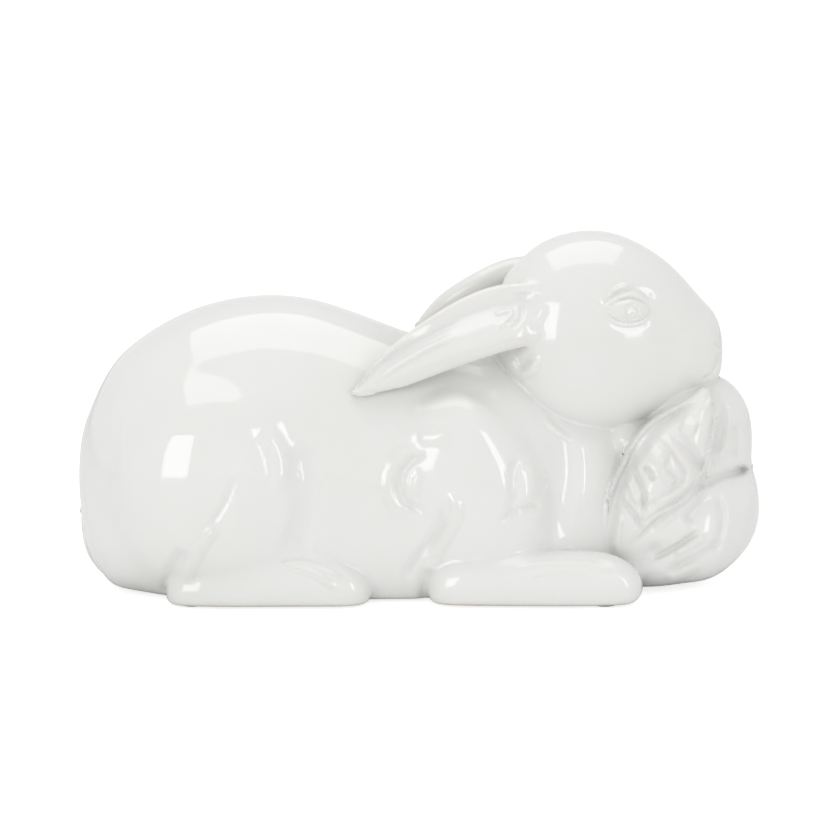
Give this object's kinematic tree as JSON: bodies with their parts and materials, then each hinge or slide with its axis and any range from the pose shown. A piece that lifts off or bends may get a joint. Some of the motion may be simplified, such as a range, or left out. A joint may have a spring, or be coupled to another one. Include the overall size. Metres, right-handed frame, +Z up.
{
  "type": "rabbit figurine",
  "caption": "Hollow white glazed ceramic rabbit lying down, ears laid back, with lettuce leaves under its chin, on small felt pads.",
  "frame": {"origin": "centre of the bounding box, on the surface that the felt pads rest on", "axes": "+X from the tail to the nose, +Y to the rabbit's left, +Z up"},
  "size_m": [0.3, 0.13, 0.1561],
  "materials": {
    "white_glaze": "glossy off-white glaze, thinner on the edges and pooled in the creases",
    "bare_clay": "unglazed buff stoneware, wiped smooth",
    "felt": "short brown felt"
  },
  "bodies": {
    "root": {"body_shell": "white_glaze", "head_shell": "white_glaze", "ear_right": "white_glaze", "ear_left": "white_glaze", "foreleg_right": "white_glaze", "foreleg_left": "white_glaze", "hind_foot_right": "white_glaze", "hind_foot_left": "white_glaze", "tail": "white_glaze", "leaf_top": "white_glaze", "leaf_front": "white_glaze", "leaf_right": "white_glaze", "leaf_left": "white_glaze", "base_plate": "bare_clay", "felt_pads": "felt"}
  },
  "joints": []
}
